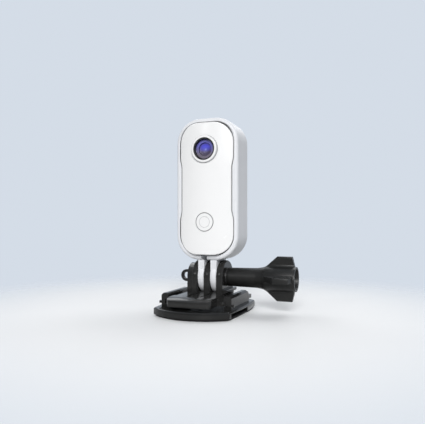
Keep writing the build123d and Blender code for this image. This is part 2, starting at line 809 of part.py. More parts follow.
with BuildPart() as buckle:
    with BuildSketch(Plane.XY.offset(tongue_bottom)):
        with BuildLine():
            Polyline((-tongue_half_width, rail_front + tongue_setback), (tongue_half_width, rail_front + tongue_setback),
                     (tongue_half_width, tongue_shoulder), (-tongue_half_width, tongue_shoulder), close=True)
        make_face()
        with Locations((0, (tongue_shoulder + tongue_rear) / 2)):
            Rectangle(2 * body_half_width, tongue_rear - tongue_shoulder)
    extrude(amount=tongue_top - tongue_bottom)
    with BuildSketch(front_plane(tongue_shoulder, 0)):
        with BuildLine():
            Polyline((-body_skirt_half_width, tongue_bottom), (body_skirt_half_width, tongue_bottom),
                     (body_skirt_half_width, body_skirt_height), (body_half_width, body_top),
                     (-body_half_width, body_top), (-body_skirt_half_width, body_skirt_height), close=True)
        make_face()
    extrude(amount=tongue_shoulder - body_front)
    with BuildSketch(Plane.XY.offset(tongue_bottom)):
        with Locations(*[(side * leg_middle, leg_root) for side in (-1, 1)]):
            Circle(leg_width / 2 + leg_socket_gap)
    extrude(amount=body_top - tongue_bottom, mode=Mode.SUBTRACT)
    with BuildSketch(Plane.XY.offset(tongue_top)):
        with Locations((0, (tongue_shoulder + tongue_rear) / 2)):
            Rectangle(2 * body_half_width, tongue_rear - tongue_shoulder)
        with Locations((0, (tongue_shoulder + prong_rear) / 2)):
            Rectangle(2 * body_rear_half_width, prong_rear - tongue_shoulder)
    extrude(amount=body_top - tongue_top)
    add(front_plate.part)
    with BuildSketch(front_plane(prong_rear, 0)):
        with Locations(((right_ear_outer + shoulder_half_width) / 2, (body_top + shoulder_top) / 2)):
            Rectangle(shoulder_half_width - right_ear_outer, shoulder_top - body_top)
    extrude(amount=prong_rear - prong_front - shoulder_rounding)
    for side in (-1, 1):
        with BuildSketch(side_plane(side * finger_inner)):
            Circle(finger_radius + trough_clearance)
        extrude(amount=side * finger_thickness, mode=Mode.SUBTRACT)
        with BuildSketch(front_plane(prong_front, 0)):
            with Locations((side * finger_pitch, body_top)):
                Rectangle(crease_width, 2 * crease_depth)
        extrude(amount=prong_front - crease_start, mode=Mode.SUBTRACT)
    add(prong(-left_ear_outer - nut_boss_width, -left_ear_outer, nut_boss_radius))
    add(prong(-prong_thickness / 2, prong_thickness / 2))
    add(prong(ear_inner, right_ear_outer))
    add(prong(-left_ear_outer, -ear_inner))
    with BuildSketch(side_plane(-left_ear_outer)):
        Circle(bore_radius)
    extrude(amount=left_ear_outer + right_ear_outer, mode=Mode.SUBTRACT)
    with BuildSketch(side_plane(-left_ear_outer - nut_boss_width)):
        RegularPolygon(nut_across_flats / 2 + nut_fit, 6, major_radius=False)
    extrude(amount=nut_boss_width + left_ear_outer - ear_inner - nut_seat_wall, mode=Mode.SUBTRACT)
save(buckle, "buckle")

# The two latch legs that snap out behind the rails
for side, name in ((-1, "latch_leg_left"), (1, "latch_leg_right")):
    head_start = rail_rear + leg_catch_clearance
    head_end = head_start + leg_head_length
    with BuildPart() as latch_leg:
        with BuildSketch(Plane.XY.offset(tongue_bottom)):
            with Locations((side * leg_middle, leg_root)):
                Circle(leg_width / 2)
            with BuildLine():
                Polyline((side * leg_middle - leg_neck_width / 2, leg_root),
                         (side * leg_middle + leg_neck_width / 2, leg_root),
                         (side * leg_middle + leg_neck_width / 2, leg_straight_start),
                         (side * leg_middle - leg_neck_width / 2, leg_straight_start), close=True)
            make_face()
            with BuildLine():
                Polyline((side * leg_inner, leg_straight_start),
                         (side * (leg_inner + leg_width), leg_straight_start),
                         (side * (leg_inner + leg_width), head_start), (side * leg_head_outer, head_start),
                         (side * leg_head_outer, head_end - leg_pad_slope), (side * leg_middle, head_end),
                         (side * leg_inner, head_end), close=True)
            make_face()
        extrude(amount=tongue_top - tongue_bottom)
        with BuildSketch(Plane.XY.offset(tongue_top)):
            with BuildLine():
                Polyline((side * leg_inner, head_start), (side * leg_pad_outer, head_start),
                         (side * leg_pad_outer, head_end - leg_pad_slope), (side * leg_middle, head_end),
                         (side * leg_inner, head_end), close=True)
            make_face()
        extrude(amount=leg_pad_height)
    save(latch_leg, name)

# The hex nut and the cap that keeps it in the left ear, with its tether eye
nut_start = -ear_inner - nut_seat_wall - nut_fit
with BuildPart() as hex_nut:
    with BuildSketch(side_plane(nut_start)):
        RegularPolygon(nut_across_flats / 2, 6, major_radius=False)
        Circle(bore_radius, mode=Mode.SUBTRACT)
    extrude(amount=-nut_height)
save(hex_nut, "hex_nut")

nut_end = nut_start - nut_height
boss_outer_x = -left_ear_outer - nut_boss_width
cap_outer = boss_outer_x - nut_cap_flange
eye_x = cap_outer - eye_reach
with BuildPart() as nut_cap:
    with BuildSketch(side_plane(boss_outer_x)):
        Circle(nut_cap_radius)
    extrude(amount=-nut_cap_flange)
    with BuildSketch(side_plane(boss_outer_x)):
        RegularPolygon(nut_across_flats / 2, 6, major_radius=False)
    extrude(amount=nut_end - boss_outer_x - nut_fit)
    with BuildSketch(front_plane(pivot_back + eye_thickness / 2, pivot_height)):
        with Locations((eye_x, 0)):
            Circle(eye_radius)
        with Locations(((eye_x + cap_outer) / 2, 0)):
            Rectangle(eye_reach, 2 * eye_hole_radius)
        with Locations((eye_x, 0)):
            Circle(eye_hole_radius, mode=Mode.SUBTRACT)
    extrude(amount=eye_thickness)
save(nut_cap, "nut_cap")

# The thumb screw: a washer, a knob moulded on a hex bolt, and the cap over the bolt's head
washer_start = right_ear_outer + washer_gap
knob_start = washer_start + washer_thickness + washer_gap
with BuildPart() as thrust_washer:
    with BuildSketch(side_plane(washer_start)):
        Circle(washer_radius)
        Circle(bore_radius, mode=Mode.SUBTRACT)
    extrude(amount=washer_thickness)
save(thrust_washer, "thrust_washer")

flare_start = knob_start + neck_length
head_start_x = flare_start + flare_length
head_end_x = head_start_x + head_length
bolt_head_x = head_end_x - bolt_head_setback
knob_section = front_plane(pivot_back, pivot_height)
knob_axis = Axis((0, pivot_back, pivot_height), (1, 0, 0))
with BuildSketch() as star:
    with PolarLocations(0, lobe_count // 2, angular_range=180):
        RectangleRounded(2 * head_radius, lobe_thickness, lobe_tip_rounding)
    Circle(core_radius)
    fillet(star.vertices().filter_by(lambda v: abs(math.hypot(v.X, v.Y) - core_radius) < inner_gap),
           lobe_root_rounding)
with BuildPart() as knob:
    with BuildSketch(knob_section) as knob_profile:
        with BuildLine():
            Polyline((knob_start, bore_radius), (knob_start, neck_start_radius), (flare_start, neck_end_radius),
                     (flare_start + flare_bend, neck_end_radius + flare_bend_rise), (head_start_x, head_radius),
                     (head_end_x - head_chamfer, head_radius), (head_end_x, end_ring_radius),
                     (head_end_x, bore_radius), close=True)
        make_face()
        fillet(knob_profile.vertices().sort_by(Axis.X)[2:4], flare_rounding)
    revolve(axis=knob_axis)
    with BuildSketch(side_plane(flare_start)):
        Circle(2 * head_radius)
        add(star.sketch, mode=Mode.SUBTRACT)
    extrude(amount=flare_length + head_length + end_ring_height, mode=Mode.SUBTRACT)
    with BuildSketch(side_plane(head_end_x - end_ring_height)):
        Circle(end_ring_radius)
    extrude(amount=2 * end_ring_height)
    with BuildSketch(side_plane(head_end_x + end_ring_height)):
        Circle(end_bore_radius)
    extrude(amount=-(end_ring_height + bolt_head_setback - bolt_head_height), mode=Mode.SUBTRACT)
    with BuildSketch(side_plane(bolt_head_x)):
        RegularPolygon(bolt_head_across_flats / 2 + nut_fit, 6, major_radius=False)
    extrude(amount=bolt_head_height, mode=Mode.SUBTRACT)
    with BuildSketch(side_plane(knob_start)):
        Circle(bore_radius)
    extrude(amount=bolt_head_x - knob_start, mode=Mode.SUBTRACT)
save(knob, "knob")

with BuildPart() as bolt:
    with BuildSketch(side_plane(nut_end + bolt_tip_inset)):
        Circle(bolt_radius)
    extrude(amount=bolt_head_x - nut_end - bolt_tip_inset)
    chamfer(bolt.faces().sort_by(Axis.X)[0].edges(), finger_edge)
    with BuildSketch(side_plane(bolt_head_x)):
        RegularPolygon(bolt_head_across_flats / 2, 6, major_radius=False)
    extrude(amount=bolt_head_height - nut_fit)
save(bolt, "bolt")

with BuildPart() as knob_cap:
    with BuildSketch(knob_section):
        cap_rim_x = head_end_x + end_ring_height - end_cap_setback - end_cap_dome
        cap_start_x = cap_rim_x - end_cap_thickness
        cap_radius = end_bore_radius - nut_fit
        cap_dome_radius = (cap_radius ** 2 + end_cap_dome ** 2) / (2 * end_cap_dome)
        with BuildLine():
            Polyline((cap_rim_x + end_cap_dome, 0), (cap_start_x, 0), (cap_start_x, cap_radius),
                     (cap_rim_x, cap_radius))
            RadiusArc((cap_rim_x, cap_radius), (cap_rim_x + end_cap_dome, 0), cap_dome_radius)
        make_face()
    revolve(axis=knob_axis)
save(knob_cap, "knob_cap")


# The base: an adhesive pad, and a plate that carries the two grooved rails
def base_outline(z, inset=0.0):
    """The base's plan: two bowed ends and two slightly bowed sides, drawn in by inset."""
    x = base_half_width - inset
    y = base_half_length - inset
    with BuildSketch(Plane.XY.offset(z)) as plan:
        with BuildLine():
            ThreePointArc((-x, -y), (0, -y - base_end_bulge), (x, -y))
            ThreePointArc((x, -y), (x + base_side_bulge, 0), (x, y))
            ThreePointArc((x, y), (0, y + base_end_bulge), (-x, y))
            ThreePointArc((-x, y), (-x - base_side_bulge, 0), (-x, -y))
        make_face()
        fillet(plan.vertices(), base_corner)
    return plan.sketch


with BuildPart() as adhesive_pad:
    extrude(base_outline(0, pad_inset), amount=pad_thickness)
save(adhesive_pad, "adhesive_pad")

with BuildPart() as base_plate:
    extrude(base_outline(pad_thickness), amount=base_top - pad_thickness)
    chamfer(base_plate.faces().sort_by(Axis.Z)[-1].outer_wire().edges(), base_edge)
    with BuildSketch(Plane.XY.offset(pad_thickness)):
        with Locations(*[(side * (base_half_width + base_side_bulge), (pocket_start + pocket_end) / 2)
                         for side in (-1, 1)]):
            Rectangle(2 * (pocket_depth + base_side_bulge / 2), pocket_end - pocket_start)
    extrude(amount=base_top - pad_thickness - pocket_roof, mode=Mode.SUBTRACT)
    for side in (-1, 1):
        groove_top = groove_bottom + groove_height
        with BuildSketch(front_plane(rail_rear, 0)):
            with BuildLine():
                Polyline(
                    (side * rail_inner, base_top), (side * rail_outer, base_top),
                    (side * rail_outer, rail_top - rail_outer_chamfer),
                    (side * (rail_outer - rail_outer_chamfer), rail_top),
                    (side * (rail_inner + rail_inner_chamfer), rail_top),
                    (side * rail_inner, rail_top - rail_inner_chamfer), (side * rail_inner, groove_top),
                    (side * groove_outer, groove_top),
                    (side * groove_outer, groove_bottom), (side * rail_inner, groove_bottom), close=True)
            make_face()
        extrude(amount=rail_rear - rail_front)
        with BuildSketch(front_plane(rail_front + nub_size, groove_bottom)):
            with Locations((side * rail_outer, nub_size / 2)):
                Rectangle(2 * nub_size, nub_size)
        extrude(amount=nub_size)
    with BuildSketch(side_plane(-base_half_width, 0, 0)):
        with BuildLine():
            Polyline((rail_rear - rail_rear_chamfer, rail_top), (rail_rear, rail_top),
                     (rail_rear, rail_top - rail_rear_chamfer), close=True)
        make_face()
    extrude(amount=2 * base_half_width, mode=Mode.SUBTRACT)
save(base_plate, "base_plate")
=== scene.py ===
# %% [markdown]
# # A slim action camera on its quick-release mount
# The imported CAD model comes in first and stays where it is. Each later step dresses it: a camera and soft light like
# a product shot, one finish for each plastic, metal and glass, and a threaded bolt in place of the solids' plain bar.
# Everything is in metres, with the adhesive pad's underside at height 0.

# %% Load the frame
import math

import bpy
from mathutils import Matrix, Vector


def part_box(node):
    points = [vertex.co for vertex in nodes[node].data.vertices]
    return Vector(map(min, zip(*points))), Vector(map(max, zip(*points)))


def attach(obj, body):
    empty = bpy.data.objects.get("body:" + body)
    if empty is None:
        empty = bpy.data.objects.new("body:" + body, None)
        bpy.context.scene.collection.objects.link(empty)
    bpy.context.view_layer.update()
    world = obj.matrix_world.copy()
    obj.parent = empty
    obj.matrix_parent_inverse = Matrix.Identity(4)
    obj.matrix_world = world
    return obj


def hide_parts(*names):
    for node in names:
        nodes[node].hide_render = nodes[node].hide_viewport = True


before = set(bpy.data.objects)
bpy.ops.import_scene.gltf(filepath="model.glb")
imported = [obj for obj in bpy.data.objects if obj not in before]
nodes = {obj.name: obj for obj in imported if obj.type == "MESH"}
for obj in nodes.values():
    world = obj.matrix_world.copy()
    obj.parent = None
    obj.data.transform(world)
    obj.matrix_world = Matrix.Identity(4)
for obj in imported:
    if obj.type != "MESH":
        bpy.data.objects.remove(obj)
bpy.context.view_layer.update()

# %% [markdown]
# ## The camera
# The picture is taken a little from the object's right, level, somewhat below the middle of its height, from 23 cm
# away. A level camera keeps upright edges parallel, and a small upward shift frames the tall object without tilting.

# %% Set up the camera
VIEW_ANGLE = math.radians(21.56)
EYE_DISTANCE = 0.2262
EYE_HEIGHT = 0.0397
AIM_X = 0.00006
AIM_Y = 0.0074
SENSOR_MM = 36
LENS_MM = 39.84
SHIFT_UP = 0.0332
NEAR_CLIP = 0.005
QUARTER_TURN = math.radians(90)

camera_data = bpy.data.cameras.new("photo_camera")
camera_data.sensor_width = SENSOR_MM
camera_data.lens = LENS_MM
camera_data.shift_y = SHIFT_UP
camera_data.clip_start = NEAR_CLIP
photo_camera = bpy.data.objects.new("photo_camera", camera_data)
photo_camera.location = (AIM_X + EYE_DISTANCE * math.sin(VIEW_ANGLE),
                         AIM_Y - EYE_DISTANCE * math.cos(VIEW_ANGLE), EYE_HEIGHT)
photo_camera.rotation_euler = (QUARTER_TURN, 0, VIEW_ANGLE)
bpy.context.scene.collection.objects.link(photo_camera)
bpy.context.scene.camera = photo_camera
print("camera at", tuple(round(v, 4) for v in photo_camera.location))

# %% [markdown]
# ## Helpers for node trees
# Every finish below is a small tree of shader nodes. Blender takes one call for a new node, one for each of its values
# and one for each link, so one helper does all three. Short ones on top of it stand for what comes again and again:
# the piece's own coordinates, a change of range, a mix of two shaders, and a material.

# %% Add nodes, ranges and mixes
COAT_ROUGHNESS = 0.08


def step(tree, kind, feeds=None, values=None, **settings):
    """Adds a shader node with its settings and fixed inputs, and links what feeds it."""
    made = tree.nodes.new("ShaderNode" + kind)
    for setting, value in settings.items():
        setattr(made, setting, value)
    for socket, value in (values or {}).items():
        made.inputs[socket].default_value = value
    for socket, source in (feeds or {}).items():
        tree.links.new(source, made.inputs[socket])
    return made


def own_place(tree):
    """The place on the piece, in its own coordinates, which move with it."""
    return step(tree, "TexCoord").outputs["Object"]


def remap(tree, value, start, end, low=0.0, high=1.0, smooth=False):
    """Runs from low where the value is start to high where it is end, and stays level beyond both."""
    course = "SMOOTHSTEP" if smooth else "LINEAR"
    return step(tree, "MapRange", {"Value": value},
                {"From Min": start, "From Max": end, "To Min": low, "To Max": high},
                interpolation_type=course).outputs["Result"]


def mix_into(tree, output, factor, first, second):
    """Mixes two shaders by a factor, for the material's or the world's output."""
    mixed = step(tree, "MixShader", {"Fac": factor, 1: first, 2: second})
    tree.links.new(mixed.outputs["Shader"], tree.nodes[output].inputs["Surface"])


def new_material(name, metal=0.0, specular=0.5, coat=0.0):
    """A material with its even values set, returned with its nodes and its shader."""
    material = bpy.data.materials.new(name)
    material.use_nodes = True
    shader = material.node_tree.nodes["Principled BSDF"]
    shader.inputs["Metallic"].default_value = metal
    shader.inputs["Specular IOR Level"].default_value = specular
    shader.inputs["Coat Weight"].default_value = coat
    shader.inputs["Coat Roughness"].default_value = COAT_ROUGHNESS
    return material, material.node_tree, shader


print("node helpers ready")

# %% [markdown]
# ## The table and the backdrop
# The real object stands on a glossy white table in front of a pale blue-grey wall. A round floor does both: it is
# white round the object and fades away outwards until only the pale world behind it shows, so there is no hard line
# anywhere. The fade is a mix with a transparent shader, driven by the distance from the middle. The floor is satin,
# because a glossy one mirrors the lamps as glaring spots when the object is seen from behind.

# %% Make the floor
FLOOR_RADIUS = 0.6
FLOOR_SIDES = 96
FADE_START = 0.06
FADE_END = 0.18
TABLE_WHITE = (0.84, 0.85, 0.86, 1)
TABLE_ROUGHNESS = 0.48
TABLE_SPECULAR = 0.10


def deselect_all():
    """Clears the selection, which operators would otherwise act on."""
    if bpy.context.object and bpy.context.object.mode != "OBJECT":
        bpy.ops.object.mode_set(mode="OBJECT")
    bpy.ops.object.select_all(action="DESELECT")


deselect_all()
bpy.ops.mesh.primitive_circle_add(vertices=FLOOR_SIDES, radius=FLOOR_RADIUS, fill_type="NGON", location=(0, 0, 0))
floor = bpy.context.object
floor.name = "studio_floor"

floor_material, tree, shader = new_material("white_table", specular=TABLE_SPECULAR)
shader.inputs["Base Color"].default_value = TABLE_WHITE
shader.inputs["Roughness"].default_value = TABLE_ROUGHNESS
floor.data.materials.append(floor_material)
from_middle = step(tree, "VectorMath", {0: own_place(tree)}, operation="LENGTH").outputs["Value"]
fade = remap(tree, from_middle, FADE_START, FADE_END, smooth=True)
clear = step(tree, "BsdfTransparent")
mix_into(tree, "Material Output", fade, shader.outputs["BSDF"], clear.outputs["BSDF"])
print("floor radius:", FLOOR_RADIUS)

# %% [markdown]
# ## The lamps
# The front of the camera is nearly white, its right side a mid grey, and the black plastic shows a pale sheen only
# where it is seen at a slant. So the key lamp is large and stands in front, a little to the right and above. A small
# weak one at the front left gives edges a fine glint, a larger one hangs above and behind the object, and another at
# the back left fills the far sides.

# %% Hang the lamps
LAMP_AIM = (0, 0.005, 0.045)


def soft_lamp(name, place, width, height, watts):
    """A rectangular soft lamp at place that looks at the object's middle."""
    data = bpy.data.lights.new(name, type="AREA")
    data.shape = "RECTANGLE"
    data.size = width
    data.size_y = height
    data.energy = watts
    lamp = bpy.data.objects.new(name, data)
    lamp.location = place
    away = [p - a for p, a in zip(place, LAMP_AIM)]
    lamp.rotation_euler = (math.atan2(math.hypot(away[0], away[1]), away[2]), 0, math.atan2(away[0], -away[1]))
    bpy.context.scene.collection.objects.link(lamp)


soft_lamp("front_key", (0.30, -0.88, 0.55), 0.45, 0.45, 10.3)
soft_lamp("left_spark", (-0.30, -0.78, 0.34), 0.10, 0.10, 0.5)
soft_lamp("top_softbox", (0.20, 0.62, 0.72), 0.7, 0.6, 4.0)
soft_lamp("back_fill", (-0.70, 0.50, 0.75), 0.7, 0.5, 2.6)

# %% [markdown]
# ## The sky and the pale wall
# The world is a soft sky. Camera, glossy and transmitted rays see it as the pale backdrop, so gloss and glass reflect
# that, while diffuse rays see it weaker, so that it doesn't wash out the shapes. In reflections the studio is darker
# in front of the object, as a real one is, which keeps the front walls of black plastic deep beside their pale tops.
# A dot product of the ray's direction with one that points to the backdrop tells the two ends of the room apart.

# %% Colour the world
BACKDROP = (0.66, 0.72, 0.80, 1)
SKY = (0.93, 0.96, 1.0, 1)
SKY_STRENGTH = 0.18
TOWARDS_BACKDROP = (0.45, 0.85, 0.28)
DARK_END = -0.9
PALE_END = 0.1
DARK_ROOM = 0.3


def combine(tree, operation, first, *others):
    """Joins values one after the other, by a product or by taking the largest."""
    for other in others:
        first = step(tree, "Math", {0: first, 1: other}, operation=operation).outputs["Value"]
    return first


world = bpy.data.worlds.new("studio_world")
bpy.context.scene.world = world
world.use_nodes = True
tree = world.node_tree
sky = tree.nodes["Background"]
sky.inputs["Color"].default_value = SKY
sky.inputs["Strength"].default_value = SKY_STRENGTH
direction = step(tree, "TexCoord").outputs["Generated"]
facing = step(tree, "VectorMath", {0: direction}, {1: TOWARDS_BACKDROP}, operation="DOT_PRODUCT").outputs["Value"]
room = remap(tree, facing, DARK_END, PALE_END, DARK_ROOM, 1.0, smooth=True)
rays = step(tree, "LightPath").outputs
wall_strength = combine(tree, "MAXIMUM", room, rays["Is Camera Ray"])
wall = step(tree, "Background", {"Strength": wall_strength}, {"Color": BACKDROP})
sees_wall = combine(tree, "MAXIMUM", rays["Is Camera Ray"], rays["Is Glossy Ray"], rays["Is Transmission Ray"])
mix_into(tree, "World Output", sees_wall, sky.outputs["Background"], wall.outputs["Background"])
bpy.context.scene.view_settings.view_transform = "Standard"
print("sky strength:", SKY_STRENGTH, "wall strength in reflections:", DARK_ROOM, "to 1")

# %% [markdown]
# ## A helper for moulded finishes
# A moulded plastic isn't one flat colour: the tool leaves a fine grain, its gloss wanders a little, and handling
# dulls it in patches. The helper reads the object's own coordinates, so the grain sits still on the piece in every
# pose. A wide noise varies the shade and the gloss, and a fine noise raises the grain through a bump.

# %% Make a finish and dress the nodes
NOISE_LOW = 0.3
NOISE_HIGH = 0.7
GRAINS_IN_A_CLOUD = 25
CLOUD_DETAIL = 4
GRAIN_DETAIL = 3
GRAIN_STRENGTH = 0.6
GLOSS_SPREAD = 0.08
LEAST_ROUGHNESS = 0.02
MM = 0.001


def noise(tree, scale, detail=GRAIN_DETAIL, stretch=(1, 1, 1)):
    """A noise that sits still on the piece, with its pattern stretched by a mapping."""
    stretched = step(tree, "Mapping", {"Vector": own_place(tree)}, {"Scale": stretch}).outputs["Vector"]
    return step(tree, "TexNoise", {"Vector": stretched}, {"Scale": scale, "Detail": detail}).outputs["Fac"]


def ramp(tree, value, stops):
    """A colour ramp over (position, colour) stops."""
    band = step(tree, "ValToRGB", {"Fac": value})
    while len(band.color_ramp.elements) < len(stops):
        band.color_ramp.elements.new(0.5)
    for element, (position, colour) in zip(band.color_ramp.elements, stops):
        element.position = position
        element.color = (*colour, 1)
    return band.outputs["Color"]


def paint(tree, shader, colour):
    """Feeds the shader's colour from a node."""
    tree.links.new(colour, shader.inputs["Base Color"])


def vary_roughness(tree, shader, cloud, low, high):
    """Lets the roughness wander between two values with a noise's middle range."""
    tree.links.new(remap(tree, cloud, NOISE_LOW, NOISE_HIGH, low, high), shader.inputs["Roughness"])


def raise_grain(tree, shader, height, depth_mm):
    """Lifts the surface by a height pattern, depth_mm deep."""
    bump = step(tree, "Bump", {"Height": height}, {"Strength": GRAIN_STRENGTH, "Distance": depth_mm * MM})
    tree.links.new(bump.outputs["Normal"], shader.inputs["Normal"])


def finish(name, colour, rough, grain, depth_mm, metal=0.0, shade=0.06, coat=0.0, specular=0.5, stretch=(1, 1, 1)):
    """A procedural finish: wandering shade and gloss, and a fine raised grain."""
    material, tree, shader = new_material(name, metal, specular, coat)
    cloud = noise(tree, grain / GRAINS_IN_A_CLOUD, CLOUD_DETAIL)
    dark = tuple(c * (1 - shade) for c in colour)
    light = tuple(min(1, c * (1 + shade)) for c in colour)
    paint(tree, shader, ramp(tree, cloud, [(NOISE_LOW, dark), (NOISE_HIGH, light)]))
    vary_roughness(tree, shader, cloud, max(LEAST_ROUGHNESS, rough - GLOSS_SPREAD / 2), rough + GLOSS_SPREAD / 2)
    raise_grain(tree, shader, noise(tree, grain, stretch=stretch), depth_mm)
    return material


def dress(material, *names):
    """Gives CAD nodes one finish each in place of their plain one."""
    for name in names:
        for slot in nodes[name].material_slots:
            slot.material = material


print("finish helpers ready")

# %% [markdown]
# ## White and black plastics
# The back half of the camera's shell is a semi-gloss white, the bracket round it is a slightly bluer white with a
# satin face, and the mount is black with a fine spark-eroded grain. Whites stay a little below full white and blacks
# a little above black, because real plastics do, and because both ends then keep their shading.

# %% Dress what shows
dress(finish("shell_white", (0.84, 0.84, 0.84), 0.30, grain=1800, depth_mm=0.003, shade=0.008, coat=0.08),
      "rear_cover", "rear_door")
bracket_white = finish("bracket_white", (0.73, 0.74, 0.765), 0.42, grain=5200, depth_mm=0.010, shade=0.012,
                       specular=0.35)
dress(bracket_white, "bracket_frame")
dress(finish("knob_black", (0.0105, 0.0104, 0.010), 0.40, grain=6000, depth_mm=0.006, specular=0.30),
      "knob", "knob_cap")
dress(finish("buckle_black", (0.020, 0.0198, 0.0193), 0.17, grain=6000, depth_mm=0.003, specular=0.27),
      "buckle", "latch_leg_left", "latch_leg_right", "nut_cap")
dress(finish("base_black", (0.0125, 0.0124, 0.012), 0.18, grain=5200, depth_mm=0.003, specular=0.25), "base_plate")
dress(finish("barrel_black", (0.010, 0.010, 0.011), 0.32, grain=4000, depth_mm=0.01), "lens_holder")
dress(finish("washer_grey", (0.035, 0.035, 0.036), 0.28, grain=4000, depth_mm=0.01), "thrust_washer")
dress(finish("pad_foam", (0.018, 0.018, 0.019), 0.85, grain=2600, depth_mm=0.15, shade=0.25, specular=0.2),
      "adhesive_pad")
dress(finish("seal_rubber", (0.02, 0.02, 0.02), 0.7, grain=3500, depth_mm=0.03), "cover_seal")
print("plastics dressed")

# %% [markdown]
# ## The lens
# Behind a clear front glass sit a black barrel, whose step carries a painted reflection, and a deep stack of coated
# glass. All of them are turned round one axis, and the button lower down has an axis of its own, so their colours
# can follow the distance from an axis. Both axes and the radii are measured on the solids, which keeps every band on
# its piece.

# %% Measure the round pieces and find the distance from an axis
def height_and_radius(box):
    """The height of the axis and the radius of a round piece whose axis runs along Y."""
    low, high = box
    return (low[2] + high[2]) / 2, (high[0] - low[0]) / 2


LENS_Z, LENS_RADIUS = height_and_radius(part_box("front_lens"))
BUTTON_Z, LIGHT_RADIUS = height_and_radius(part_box("button_light"))


def axis_distance(tree, axis_z, radius):
    """The distance from an axis along Y, in radii, and the place seen from that axis, in radii too."""
    centred = step(tree, "Mapping", {"Vector": own_place(tree)},
                   {"Location": (0, 0, -axis_z / radius), "Scale": (1 / radius, 0, 1 / radius)}).outputs["Vector"]
    return step(tree, "VectorMath", {0: centred}, operation="LENGTH").outputs["Value"], centred


def painted_reflection_by_height(tree, centred, lower, upper, low=-0.55, high=0.35):
    """Mixes two painted reflection colours by the height over the axis, the lower one at the bottom."""
    height = step(tree, "SeparateXYZ", {"Vector": centred}).outputs["Z"]
    films = step(tree, "Mix", {"Factor": remap(tree, height, low, high), 6: lower, 7: upper}, data_type="RGBA")
    return films.outputs[2]


print("lens axis height:", round(LENS_Z, 5), "radius:", round(LENS_RADIUS, 5), "button at", round(BUTTON_Z, 5))

# %% [markdown]
# ## The front glass
# A film against reflections leaves this glass hardly any mirror image, so its index of refraction stands close to 1.
# Shadow rays, and the light that leaves the elements behind it, pass straight through a transparent shader: the glass
# would otherwise scatter them as bright specks.

# %% Make the front glass
GLASS_INDEX = 1.02

front_glass, tree, shader = new_material("front_glass")
shader.inputs["Transmission Weight"].default_value = 1.0
shader.inputs["IOR"].default_value = GLASS_INDEX
paint(tree, shader, ramp(tree, noise(tree, 90), [(0.3, (0.93, 0.93, 0.98)), (0.7, (0.97, 0.97, 1.0))]))
vary_roughness(tree, shader, noise(tree, 600), 0.0, 0.012)
rays = step(tree, "LightPath").outputs
passes = combine(tree, "MAXIMUM", rays["Is Diffuse Ray"], rays["Is Glossy Ray"], rays["Is Shadow Ray"])
mix_into(tree, "Material Output", passes, shader.outputs["BSDF"], step(tree, "BsdfTransparent").outputs["BSDF"])
dress(front_glass, "front_lens")
print("front glass index:", GLASS_INDEX)

# %% [markdown]
# ## The barrel and the coated elements
# The coatings give the lens its blue-violet colour: they are thin films that reflect only part of the light. The
# elements in the stack are made partly like metal mirrors in the films' colours, and their colour carries a painted
# reflection, bluer at the top and greyer purple at the bottom, with a painted highlight in the middle. The barrel's
# step carries the same painted reflection. They are banded by the distance from the lens axis and by the height,
# which costs far less to render than real films and looks the same.

# %% Colour the barrel and the coated elements
BARREL_BLACK = (0.007, 0.007, 0.009)
# painted reflection: the step's bands are the coatings' colours seen in it, lighter and bluer in the upper half
BARREL_PAINTED_REFLECTION_LOWER = ((0.0, BARREL_BLACK), (0.62, (0.075, 0.06, 0.09)), (0.72, (0.15, 0.13, 0.17)),
                (0.94, (0.16, 0.14, 0.18)), (1.0, BARREL_BLACK))
BARREL_PAINTED_REFLECTION_UPPER = ((0.0, BARREL_BLACK), (0.62, (0.07, 0.07, 0.24)), (0.72, (0.115, 0.115, 0.43)),
                (0.94, (0.10, 0.10, 0.34)), (1.0, BARREL_BLACK))
# painted reflection on the coated elements, bluer at the top; the middle stop of the upper colours is a painted
# highlight
COATED_PAINTED_REFLECTION_LOWER = ((0.0, (0.17, 0.18, 0.45)), (0.15, (0.09, 0.085, 0.17)), (0.44, (0.08, 0.068, 0.115)),
                (0.58, (0.09, 0.075, 0.12)), (0.67, (0.06, 0.06, 0.075)))
COATED_PAINTED_REFLECTION_UPPER = ((0.0, (0.40, 0.45, 1.0)), (0.15, (0.135, 0.14, 0.88)), (0.44, (0.105, 0.105, 0.70)),
                (0.58, (0.11, 0.10, 0.48)), (0.67, (0.08, 0.08, 0.28)))

barrel_painted_reflection, tree, shader = new_material("barrel_painted_reflection", specular=0.4)
from_axis, centred = axis_distance(tree, LENS_Z, LENS_RADIUS)
paint(tree, shader, painted_reflection_by_height(tree, centred, ramp(tree, from_axis, BARREL_PAINTED_REFLECTION_LOWER), ramp(tree, from_axis, BARREL_PAINTED_REFLECTION_UPPER)))
vary_roughness(tree, shader, noise(tree, 3000), 0.3, 0.4)
dress(barrel_painted_reflection, "lens_barrel")

coated_glass_painted_reflection, tree, shader = new_material("coated_glass_painted_reflection", metal=0.3, specular=0.3)
from_axis, centred = axis_distance(tree, LENS_Z, LENS_RADIUS)
paint(tree, shader, painted_reflection_by_height(tree, centred, ramp(tree, from_axis, COATED_PAINTED_REFLECTION_LOWER), ramp(tree, from_axis, COATED_PAINTED_REFLECTION_UPPER),
                              low=-0.25, high=0.30))
vary_roughness(tree, shader, noise(tree, 800), 0.28, 0.34)
dress(coated_glass_painted_reflection, "inner_lenses")
print("lens dressed")

# %% [markdown]
# ## Shaded joints
# A joint between two white shells reads as a fine grey line, because little light comes out of it. The walls that
# stand in a joint get a painted shade, greyer than the faces. On the round bezel, button and light the painted shade
# comes in at a share of the radius from the axis.

# %% Dress the bezel and the button
WHITE = (0.84, 0.84, 0.84)
